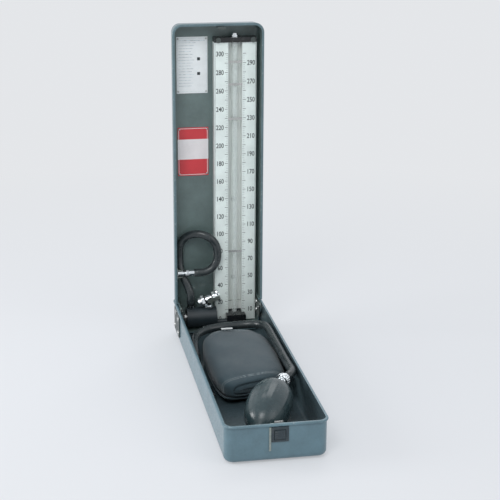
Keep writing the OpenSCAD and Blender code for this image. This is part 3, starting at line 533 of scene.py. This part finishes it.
def flat_boxes(boxes, y):
    """Thin printed rectangles (x0, z0, x1, z1) in mm on the plane y, facing the front."""
    bulge = 0.04
    verts, faces = [], []
    for x0, z0, x1, z1 in boxes:
        b = len(verts)
        e = min(0.05, (x1 - x0) / 4, (z1 - z0) / 4)
        for x, z in ((x0, z0), (x1, z0), (x1, z1), (x0, z1)):
            verts.append((x * MM, y * MM, z * MM))
        for x, z in ((x0 + e, z0 + e), (x1 - e, z0 + e), (x1 - e, z1 - e), (x0 + e, z1 - e)):
            verts.append((x * MM, (y - bulge) * MM, z * MM))
        faces += [(b, b + 1, b + 5, b + 4), (b + 1, b + 2, b + 6, b + 5), (b + 2, b + 3, b + 7, b + 6),
                  (b + 3, b, b + 4, b + 7), (b + 4, b + 5, b + 6, b + 7)]
    return verts, faces


def numerals():
    """Printed figures 0 to 300 as thin meshes: even tens on the left strip, odd tens on the right."""
    left_x, right_x, narrow = 2.9, 36.2, 0.78
    verts, faces = [], []
    for value in range(0, 301, 10):
        left = value % 20 == 0
        curve = bpy.data.curves.new("figure", "FONT")
        curve.body = str(value)
        curve.size = 7.2
        curve.offset = 0.09
        curve.resolution_u = 3
        curve.align_x = "CENTER"
        o = bpy.data.objects.new("figure", curve)
        bpy.context.scene.collection.objects.link(o)
        bpy.context.view_layer.update()
        mesh = bpy.data.meshes.new_from_object(o.evaluated_get(bpy.context.evaluated_depsgraph_get()))
        base = len(verts)
        x0, z0 = (left_x if left else right_x), scale_z(value) - 2.5
        for v in mesh.vertices:
            verts.append(((x0 + v.co.x * narrow) * MM, FIGURES_Y * MM, (z0 + v.co.y) * MM))
        faces += [tuple(base + i for i in q.vertices) for q in mesh.polygons]
        bpy.data.objects.remove(o)
        bpy.data.curves.remove(curve)
        bpy.data.meshes.remove(mesh)
    return piece("scale_figures", verts, faces, "lid", "block_black", smooth=False)


def scale_marks():
    """A line every 2 mm of mercury on both strips beside the tube, longer at the tens, and two edge lines."""
    left_edge, right_edge = 11.6, 27.4
    boxes = []
    for value in range(0, 301, 2):
        z = scale_z(value)
        long, half = (3.4, 0.24) if value % 10 == 0 else (2.1, 0.11)
        boxes.append((left_edge - long, z - half, left_edge, z + half))
        boxes.append((right_edge, z - half, right_edge + long, z + half))
    for x in (-2.1, 41.0):
        boxes.append((x, 14.6, x + 0.25, 321.5))
    verts, faces = flat_boxes(boxes, LINES_Y)
    return piece("scale_lines", verts, faces, "lid", "block_black", smooth=False)


def plate_prints():
    """Marks without words: faint rules and two dots on the white plate, a border on the red and white one."""
    dark = [(-19.6, 303.0, -16.4, 306.2), (-19.6, 287.4, -16.4, 290.6)]
    rules = [(-39.6, 323.6, -11.4, 324.3), (-39.6, 321.6, -21.0, 322.0)]
    for i in range(15):
        z = 318.4 - i * 3.05
        rules.append((-39.2, z, -22.6 - (i * 37 % 5) * 0.9, z + 0.5))
    rules += [(-40.4, 270.0, -40.15, 326.4), (-9.85, 270.0, -9.6, 326.4), (-40.4, 326.2, -9.6, 326.4),
              (-40.4, 269.8, -9.6, 270.0)]
    edges = [(-40.2, 179.0, -8.8, 179.5), (-40.2, 229.5, -8.8, 230.0), (-40.2, 179.5, -39.7, 229.5),
             (-9.3, 179.5, -8.8, 229.5)]
    a = piece("plate_dots", *flat_boxes(dark, PLATES_Y), "lid", "block_black", smooth=False)
    b = piece("plate_rules", *flat_boxes(rules, PLATES_Y), "lid", "label_white", smooth=False)
    c = piece("red_plate_border", *flat_boxes(edges, PLATES_Y), "lid", "label_white", smooth=False)
    return a, b, c


def plate_rivets():
    """Small domed pins in the corners of both plates."""
    verts, faces, m = [], [], 16
    prof = [(1.05, 0.0), (1.05, 0.12), (0.85, 0.36), (0.5, 0.5), (0.15, 0.55)]
    spots = [(-39.9, 325.9), (-10.1, 325.9), (-39.9, 270.1), (-10.1, 270.1)]
    spots += [(-39.4, 229.0), (-9.6, 229.0), (-39.4, 180.0), (-9.6, 180.0)]
    for x, z in spots:
        b = len(verts)
        for r, h in prof:
            for k in range(m):
                a = TAU * k / m
                verts.append(((x + r * math.cos(a)) * MM, (PLATES_Y - h) * MM, (z + r * math.sin(a)) * MM))
        faces += [tuple(reversed([b + i for i in q])) for q in grid_faces(len(prof), m)]
        faces.append(tuple(b + (len(prof) - 1) * m + k for k in range(m)))
    return piece("plate_pins", verts, faces, "lid", "bright_steel")


def latch_details():
    """Four grip ribs on the push button."""
    face_y = -172.0
    verts, faces = [], []
    for i in range(4):
        z = LATCH_Z - 2.7 + 1.8 * i
        b = len(verts)
        for dx, inset in ((-4.5, 0.25), (-4.2, 0), (4.2, 0), (4.5, 0.25)):
            top_y = face_y - 0.35 + inset
            for y, dz in ((face_y + 0.02, -0.45 + inset), (face_y, -0.3), (top_y, -0.12), (top_y, 0.12),
                          (face_y, 0.3), (face_y + 0.02, 0.45 - inset)):
                verts.append(((LATCH_X + dx) * MM, y * MM, (z + dz) * MM))
        for r in range(3):
            for k in range(5):
                q = b + r * 6 + k
                faces.append((q, q + 6, q + 7, q + 1))
    return piece("button_ribs", verts, faces, "latch_button", "latch_black")


# ---------- materials ----------

def lin(c):
    """Linear colour from the screen's values, with full alpha."""
    return tuple(x / 12.92 if x <= 0.04045 else ((x + 0.055) / 1.055) ** 2.4 for x in c) + (1.0,)


class Shader:
    """A principled material with a few shorthand nodes."""

    def __init__(self, name, **sockets):
        self.m = bpy.data.materials.new(name)
        self.m.use_nodes = True
        self.t = self.m.node_tree
        self.b = self.t.nodes["Principled BSDF"]
        for k, v in sockets.items():
            self.b.inputs[k.replace("_", " ")].default_value = v
        co = self.t.nodes.new("ShaderNodeTexCoord")
        self.pos, self.normal = co.outputs["Object"], co.outputs["Normal"]

    def add(self, kind, inputs=(), **props):
        n = self.t.nodes.new(kind)
        for k, v in props.items():
            setattr(n, k, v)
        for k, v in dict(inputs).items():
            if isinstance(v, bpy.types.NodeSocket):
                self.t.links.new(v, n.inputs[k])
            else:
                n.inputs[k].default_value = v
        return n

    def noise(self, scale, detail=3.0, rough=0.55, stretch=None):
        vec = self.pos
        if stretch:
            vec = self.add("ShaderNodeMapping", {0: vec, 3: stretch}).outputs[0]
        inputs = {"Vector": vec, "Scale": scale, "Detail": detail, "Roughness": rough}
        return self.add("ShaderNodeTexNoise", inputs).outputs[0]

    def cells(self, scale, feature="F1"):
        inputs = {"Vector": self.pos, "Scale": scale}
        return self.add("ShaderNodeTexVoronoi", inputs, feature=feature).outputs[0]

    def span(self, value, a, b, c=0.0, d=1.0):
        return self.add("ShaderNodeMapRange", {0: value, 1: a, 2: b, 3: c, 4: d}, clamp=True).outputs[0]

    def math(self, op, a, b=0.0):
        return self.add("ShaderNodeMath", {0: a, 1: b}, operation=op).outputs[0]

    def mix(self, fac, a, b):
        n = self.add("ShaderNodeMix", data_type="RGBA")
        for i, v in ((0, fac), (6, a), (7, b)):
            if isinstance(v, bpy.types.NodeSocket):
                self.t.links.new(v, n.inputs[i])
            else:
                n.inputs[i].default_value = v if i == 0 else (v if len(v) == 4 else lin(v))
        return n.outputs[2]

    def axis(self, k):
        return self.add("ShaderNodeSeparateXYZ", {0: self.pos}).outputs[k]

    def colour(self, socket):
        self.t.links.new(socket, self.b.inputs["Base Color"])
        return self

    def rough(self, socket):
        self.t.links.new(socket, self.b.inputs["Roughness"])
        return self

    def bump(self, height, depth_mm):
        old = self.b.inputs["Normal"].links
        n = self.add("ShaderNodeBump", {"Height": height, "Distance": depth_mm * MM, "Strength": 1.0})
        if old:
            self.t.links.new(old[0].from_socket, n.inputs["Normal"])
        self.t.links.new(n.outputs[0], self.b.inputs["Normal"])
        return self


def shade(c, k):
    """A colour k times as bright."""
    return tuple(min(1, x * k) for x in c)


def enamel(name, outside, inside, centre, rim_axis, rim_from):
    """Hammered stove enamel: dimpled gloss, a second colour inside the pan (for the tray a darker one that is
    painted shade), bare specks on the rolled rim.
    """
    s = Shader(name, IOR=1.5, Coat_Weight=0.35, Coat_Roughness=0.12)
    to = s.add("ShaderNodeVectorMath", {0: centre, 1: s.pos}, operation="SUBTRACT").outputs[0]
    dot = s.add("ShaderNodeVectorMath", {0: to, 1: s.normal}, operation="DOT_PRODUCT").outputs["Value"]
    inner = s.span(dot, -0.001, 0.001)
    blotch = s.noise(55, 4, 0.6)
    out_c = s.mix(s.span(blotch, 0.3, 0.7), shade(outside, 0.93), shade(outside, 1.06))
    in_c = s.mix(s.span(blotch, 0.3, 0.7), shade(inside, 0.93), shade(inside, 1.06))
    base = s.mix(inner, out_c, in_c)
    dimple = s.cells(560, "SMOOTH_F1")
    fine = s.noise(420, 3)
    base = s.mix(s.math("MULTIPLY", s.span(dimple, 0.25, 0.75), 0.10), base, shade(outside, 1.22))
    rim = s.span(s.axis(rim_axis), rim_from[0] * MM, rim_from[1] * MM)
    wear = s.math("MULTIPLY", rim, s.span(s.noise(330, 5, 0.7), 0.60, 0.70))
    base = s.mix(s.math("MULTIPLY", wear, 0.55), base, (0.70, 0.72, 0.71))
    scuff = s.span(s.noise(90, 6, 0.75, stretch=(1, 1, 5)), 0.66, 0.76)
    base = s.mix(s.math("MULTIPLY", scuff, 0.25), base, shade(outside, 1.3))
    s.colour(base).rough(s.span(fine, 0.3, 0.7, 0.30, 0.46))
    return s.bump(dimple, 0.04).bump(s.noise(45, 2), 0.12).m


def rubber(name, colour, rough=0.5, bloom=0.12, grain=900):
    """Old rubber: fine pits, faint mottling and a pale bloom in patches."""
    s = Shader(name, IOR=1.5)
    patches = s.span(s.noise(70, 5, 0.65), 0.42, 0.72)
    base = s.mix(s.noise(350, 2), shade(colour, 0.85), shade(colour, 1.15))
    s.colour(s.mix(s.math("MULTIPLY", patches, bloom), base, (0.62, 0.64, 0.62)))
    s.rough(s.span(patches, 0, 1, rough - 0.08, rough + 0.14))
    return s.bump(s.noise(grain, 3, 0.6), 0.04).bump(s.noise(140, 2), 0.06).m


def metal(name, colour, rough, spangle=0.0, tarnish=0.25):
    """Bare or plated metal: scratches, patches that differ in shine, and spangles on zinc."""
    s = Shader(name, Metallic=1.0)
    scratch = s.noise(900, 4, 0.6, stretch=(1, 1, 0.15))
    dull = s.span(s.noise(110, 5, 0.7), 0.45, 0.75)
    base = s.mix(s.math("MULTIPLY", dull, tarnish), colour, shade(colour, 0.62))
    if spangle:
        base = s.mix(s.math("MULTIPLY", s.cells(420), spangle), base, shade(colour, 1.25))
    s.colour(base)
    shine = s.span(scratch, 0.3, 0.7, rough - 0.05, rough + 0.1)
    s.rough(s.math("ADD", shine, s.math("MULTIPLY", dull, 0.12)))
    return s.bump(scratch, 0.012).m


def satin():
    """Pale satin channel, shaded as a whitened surface and not as bare metal, with lengthwise lines."""
    s = Shader("channel_aluminium", IOR=1.5)
    lines = s.noise(700, 3, 0.6, stretch=(1, 1, 0.01))
    streak = s.noise(240, 4, 0.6, stretch=(1, 1, 0.03))
    base = s.mix(s.span(streak, 0.3, 0.7), (0.88, 0.90, 0.885), (0.93, 0.945, 0.93))
    s.colour(s.mix(s.math("MULTIPLY", s.span(lines, 0.55, 0.7), 0.4), base, (0.98, 0.985, 0.975)))
    s.rough(s.span(lines, 0.3, 0.7, 0.28, 0.42))
    return s.bump(lines, 0.01).m


def cuff_cloth():
    """Close plain weave that follows the roll through its own lengthwise and crosswise measure."""
    s = Shader("cuff_cloth", Sheen_Weight=0.25, Sheen_Roughness=0.45, Specular_IOR_Level=0.25)
    uv = s.add("ShaderNodeAttribute", attribute_name="cloth").outputs["Vector"]
    sep = s.add("ShaderNodeSeparateXYZ", {0: uv})
    pitch = 0.00085
    warp = s.math("SINE", s.math("MULTIPLY", sep.outputs[0], TAU / pitch))
    weft = s.math("SINE", s.math("MULTIPLY", sep.outputs[1], TAU / pitch))
    weave = s.math("MULTIPLY", warp, weft)
    hair = s.noise(1500, 3, 0.7)
    blotch = s.noise(38, 5, 0.65)
    fade = s.span(s.noise(16, 3, 0.6), 0.35, 0.7)
    base = s.mix(s.span(blotch, 0.3, 0.7), (0.18, 0.25, 0.28), (0.22, 0.30, 0.33))
    base = s.mix(s.math("MULTIPLY", s.span(weave, -1, 1), 0.35), base, (0.30, 0.375, 0.405))
    base = s.mix(s.math("MULTIPLY", fade, 0.22), base, (0.29, 0.345, 0.365))
    s.colour(s.mix(s.math("MULTIPLY", hair, 0.18), base, (0.13, 0.165, 0.18)))
    s.rough(s.span(hair, 0.3, 0.7, 0.72, 0.92))
    return s.bump(weave, 0.10).bump(hair, 0.08).bump(s.noise(60, 3), 0.25).m


def printed(name, ground, other=None, low=0.0, high=0.0):
    """Enamelled print, a little yellowed and scuffed, with or without a band of another colour."""
    s = Shader(name, IOR=1.5, Coat_Weight=0.2, Coat_Roughness=0.2)
    base = s.mix(s.span(s.noise(45, 5, 0.6), 0.35, 0.75), ground, shade(ground, 0.92))
    if other:
        z = s.axis(2)
        above_low = s.span(z, (low - 0.1) * MM, (low + 0.1) * MM)
        band = s.math("MULTIPLY", above_low, s.span(z, (high + 0.1) * MM, (high - 0.1) * MM))
        base = s.mix(band, base, s.mix(s.span(s.noise(60, 4), 0.3, 0.7), other, shade(other, 0.94)))
    specks = s.span(s.noise(700, 4, 0.7), 0.66, 0.74)
    s.colour(s.mix(s.math("MULTIPLY", specks, 0.3), base, shade(ground, 0.6)))
    s.rough(s.span(s.noise(200, 3), 0.3, 0.7, 0.32, 0.5))
    return s.bump(s.noise(320, 2), 0.015).m


def ink(name, colour):
    """Flat ink or thread with slight changes of tone."""
    s = Shader(name, IOR=1.45)
    s.colour(s.mix(s.span(s.noise(500, 3), 0.3, 0.7), colour, shade(colour, 1.5)))
    s.rough(s.span(s.noise(240, 2), 0.3, 0.7, 0.4, 0.6))
    return s.bump(s.noise(600, 2), 0.01).m


def moulded(name, colour, rough):
    """Glossy moulded plastic with a faint orange peel and dust in patches."""
    s = Shader(name, IOR=1.5)
    dust = s.span(s.noise(130, 5, 0.7), 0.52, 0.8)
    base = s.mix(s.noise(300, 2), shade(colour, 0.85), shade(colour, 1.15))
    s.colour(s.mix(s.math("MULTIPLY", dust, 0.16), base, (0.5, 0.5, 0.48)))
    s.rough(s.span(dust, 0, 1, rough, rough + 0.25))
    return s.bump(s.noise(260, 2), 0.03).m


def cast_paint():
    """Dark paint over cast iron: lumpy, half gloss, chipped to bare grey here and there."""
    s = Shader("reservoir_paint", IOR=1.5)
    chip = s.span(s.noise(210, 5, 0.7), 0.66, 0.72)
    base = s.mix(s.noise(60, 4), (0.10, 0.135, 0.15), (0.16, 0.20, 0.22))
    s.colour(s.mix(s.math("MULTIPLY", chip, 0.5), base, (0.42, 0.42, 0.40)))
    s.rough(s.span(s.noise(180, 3), 0.3, 0.7, 0.34, 0.55))
    return s.bump(s.noise(260, 4, 0.6), 0.18).bump(chip, 0.05).m


def glass():
    """Thin clear glass, see-through by its alpha and not by refraction; its pale colour is painted sheen and
    its lighter lengthwise streaks are painted highlights.
    """
    s = Shader("tube_glass", IOR=1.47, Alpha=0.24)
    # bloom here is painted highlight: lighter lengthwise streaks that stand for light on the glass
    bloom = s.span(s.noise(90, 3, stretch=(1, 1, 0.1)), 0.3, 0.7)
    s.colour(s.mix(bloom, (0.90, 0.94, 0.925), (0.96, 0.985, 0.975)))
    s.rough(s.span(s.noise(160, 4), 0.4, 0.8, 0.04, 0.12))
    return s.bump(s.noise(30, 1, stretch=(1, 1, 0.1)), 0.01).m


# The tray's inside colour is the inside paint darkened and made bluer as painted shade; the lid's outside
# colour is the outside paint set a little darker and greyer as painted shade.
OUT, TRAY_IN_SHADED = (0.35, 0.46, 0.50), (0.25, 0.305, 0.325)
LID_OUT_SHADED, LID_IN = (0.34, 0.43, 0.455), (0.38, 0.445, 0.435)
finish = {
    "case_paint_outside": enamel("enamel_tray", OUT, TRAY_IN_SHADED, (0.0, 0.0, 0.03), 2, (36.6, 37.8)),
    "case_paint_inside": enamel("enamel_lid", LID_OUT_SHADED, LID_IN, (0.0, 0.150, 0.19), 1, (147.6, 146.3)),
    "foot_rubber": rubber("foot_rubber", (0.13, 0.13, 0.135), 0.6),
    "plated_steel": metal("plated_steel", (0.56, 0.59, 0.57), 0.34, spangle=0.5),
    "bright_steel": metal("bright_steel", (0.74, 0.745, 0.74), 0.25),
    "latch_black": moulded("latch_black", (0.16, 0.21, 0.235), 0.3),
    "cuff_cloth": cuff_cloth(),
    "tag_cloth": printed("tag_cloth", (0.93, 0.94, 0.94)),
    "hose_rubber": rubber("hose_rubber", (0.15, 0.18, 0.19), 0.27, 0.06),
    "bulb_rubber": rubber("bulb_rubber", (0.185, 0.25, 0.265), 0.28, 0.06, 700),
    "chrome_plate": metal("chrome_plate", (0.88, 0.90, 0.91), 0.12, tarnish=0.1),
    "channel_aluminium": satin(),
    "scale_print": printed("scale_print", (0.935, 0.975, 0.955)),
    "tube_glass": glass(),
    "block_black": moulded("block_black", (0.10, 0.11, 0.12), 0.24),
    "gasket_rubber": rubber("gasket_rubber", (0.24, 0.12, 0.11), 0.6),
    "reservoir_paint": cast_paint(),
    "hinge_steel": metal("hinge_steel", (0.34, 0.365, 0.36), 0.38, spangle=0.45, tarnish=0.5),
    "mercury_metal": metal("mercury_metal", (0.80, 0.81, 0.82), 0.07, tarnish=0.05),
    "label_white": printed("label_white", (0.955, 0.97, 0.97)),
    "label_red": printed("label_red", (0.83, 0.22, 0.25), (0.95, 0.93, 0.93), 196.1, 218.1),
    "print_ink": ink("print_ink", (0.11, 0.13, 0.14)),
    "print_grey": ink("print_grey", (0.60, 0.63, 0.64)),
    "stitch_thread": ink("stitch_thread", (0.50, 0.54, 0.55)),
}


def put_on(o, material):
    """Makes this the object's only material."""
    o.data.materials.clear()
    o.data.materials.append(material)


def soften(o, width_mm):
    """Small rounded edges on a CAD node, so that its edges catch the light."""
    w = o.modifiers.new("weld", "WELD")
    w.merge_threshold = 1e-6
    b = o.modifiers.new("edge", "BEVEL")
    b.width = width_mm * MM
    b.segments = 2
    b.limit_method = "ANGLE"
    b.angle_limit = math.radians(40)
    b.harden_normals = True


for part in frame["record"]["subparts"]:
    put_on(frame["nodes"][part["node"]], finish[part["material_slot"]])
for node in ("tray_hinge_plates", "lid_hinge_plates", "lid_keeper", "top_screws"):
    put_on(frame["nodes"][node], finish["hinge_steel"])
put_on(frame["nodes"]["latch_guide"], finish["plated_steel"])
for node, width in {
    "latch_plate": 0.25, "latch_guide": 0.2, "latch_button": 0.5, "latch_hook": 0.2,
    "tray_hinge_plates": 0.2, "lid_hinge_plates": 0.2, "lid_keeper": 0.15,
    "scale_plate_left": 0.15, "scale_plate_right": 0.15, "manometer_channel": 0.2, "tube_clips": 0.12,
    "top_bracket": 0.4, "bottom_block": 0.4, "connector_clip": 0.2, "instruction_plate": 0.12,
    "red_white_plate": 0.12, "cock_lever": 0.4, "cuff_tag": 0.15, "top_screws": 0.2,
    "release_wheel": 0.15, "release_valve_body": 0.25, "bulb_inlet_valve": 0.25,
}.items():
    soften(frame["nodes"][node], width)


# ---------- the pieces ----------

tray_connector, lid_connector = connectors()
cock_nuts, cock_gaps = cock_rings()
made = {
    "hose_rubber": [
        hose("bulb_hose_tube", bulb_hose_points, "tray", (0.0, 0.3)),
        hose("gauge_hose_tube", gauge_hose_points, "tray", (0.0, 0.3)),
        hose("lid_hose_tube", lid_hose_points(), "lid", (0.3, 0.3), 2),
        *boot(),
    ],
    "chrome_plate": [tray_connector, lid_connector, *cock_nuts],
    "block_black": cock_gaps,
    "bulb_rubber": [bulb()],
    "foot_rubber": [feet()],
    "bright_steel": [spring(), plate_rivets()],
    "cuff_cloth": [cuff()],
    "stitch_thread": [cuff_stitches()],
    "print_ink": [numerals(), scale_marks()],
    "latch_black": [latch_details()],
}
dots, rules, border = plate_prints()
made["print_ink"].append(dots)
made["print_grey"] = [rules]
made["label_white"] = [border]
for key, group in made.items():
    for o in group:
        put_on(o, finish[key])


# ---------- stage ----------

def seen_ray(t):
    """1 where the background is seen directly, in a reflection or through glass."""
    path = t.nodes.new("ShaderNodeLightPath")
    total = path.outputs["Is Camera Ray"]
    for other in ("Is Glossy Ray", "Is Transmission Ray"):
        add = t.nodes.new("ShaderNodeMath")
        add.operation = "MAXIMUM"
        t.links.new(total, add.inputs[0])
        t.links.new(path.outputs[other], add.inputs[1])
        total = add.outputs[0]
    return total


def make_stage():
    """A pale floor that fades into the background, a soft sky and four area lamps."""
    reach = 9
    corners = [(-reach, -reach, 0), (reach, -reach, 0), (reach, reach, 0), (-reach, reach, 0)]
    mesh = bpy.data.meshes.new("floor")
    mesh.from_pydata(corners, [], [(0, 1, 2, 3)])
    floor = bpy.data.objects.new("floor", mesh)
    bpy.context.scene.collection.objects.link(floor)
    m = Shader("floor_paper", Roughness=0.9)
    m.colour(m.mix(m.noise(3, 2), (0.885, 0.895, 0.91), (0.895, 0.905, 0.92)))
    seen = seen_ray(m.t)
    away = m.add("ShaderNodeVectorMath", {0: m.pos, 1: (0.0, 0.0, 0.0)}, operation="DISTANCE")
    share = m.math("MULTIPLY", seen, m.span(away.outputs["Value"], 0.15, 0.9, 0.45, 1.0))
    paper = m.add("ShaderNodeEmission", {0: lin((0.895, 0.903, 0.915)), 1: 1.0})
    both = m.add("ShaderNodeMixShader", {0: share, 1: m.b.outputs[0], 2: paper.outputs[0]})
    m.t.links.new(both.outputs[0], m.t.nodes["Material Output"].inputs[0])
    mesh.materials.append(m.m)

    world = bpy.data.worlds.new("world")
    bpy.context.scene.world = world
    world.use_nodes = True
    t = world.node_tree
    back = t.nodes["Background"]
    back.inputs[0].default_value = lin((0.90, 0.91, 0.925))
    light = t.nodes.new("ShaderNodeBackground")
    light.inputs[0].default_value = lin((0.95, 0.97, 1.0))
    light.inputs[1].default_value = 0.55
    mixer = t.nodes.new("ShaderNodeMixShader")
    t.links.new(seen_ray(t), mixer.inputs[0])
    t.links.new(light.outputs[0], mixer.inputs[1])
    t.links.new(back.outputs[0], mixer.inputs[2])
    t.links.new(mixer.outputs[0], t.nodes["World Output"].inputs[0])

    for name, place, size, power in (
        ("key", (-0.55, -1.05, 1.35), 0.7, 10.0),
        ("fill", (1.1, -0.9, 0.8), 0.9, 3.0),
        ("side", (-1.25, 0.12, 0.45), 0.6, 8.0),
        ("back", (0.3, 1.0, 1.2), 0.9, 4.0),
    ):
        data = bpy.data.lights.new(name, "AREA")
        data.size = size
        data.energy = power
        o = bpy.data.objects.new(name, data)
        bpy.context.scene.collection.objects.link(o)
        o.location = place
        o.rotation_mode = "QUATERNION"
        o.rotation_quaternion = (Vector((0, 0.05, 0.12)) - Vector(place)).to_track_quat("-Z", "Y")


make_stage()
bpy.context.scene.view_settings.view_transform = "Standard"
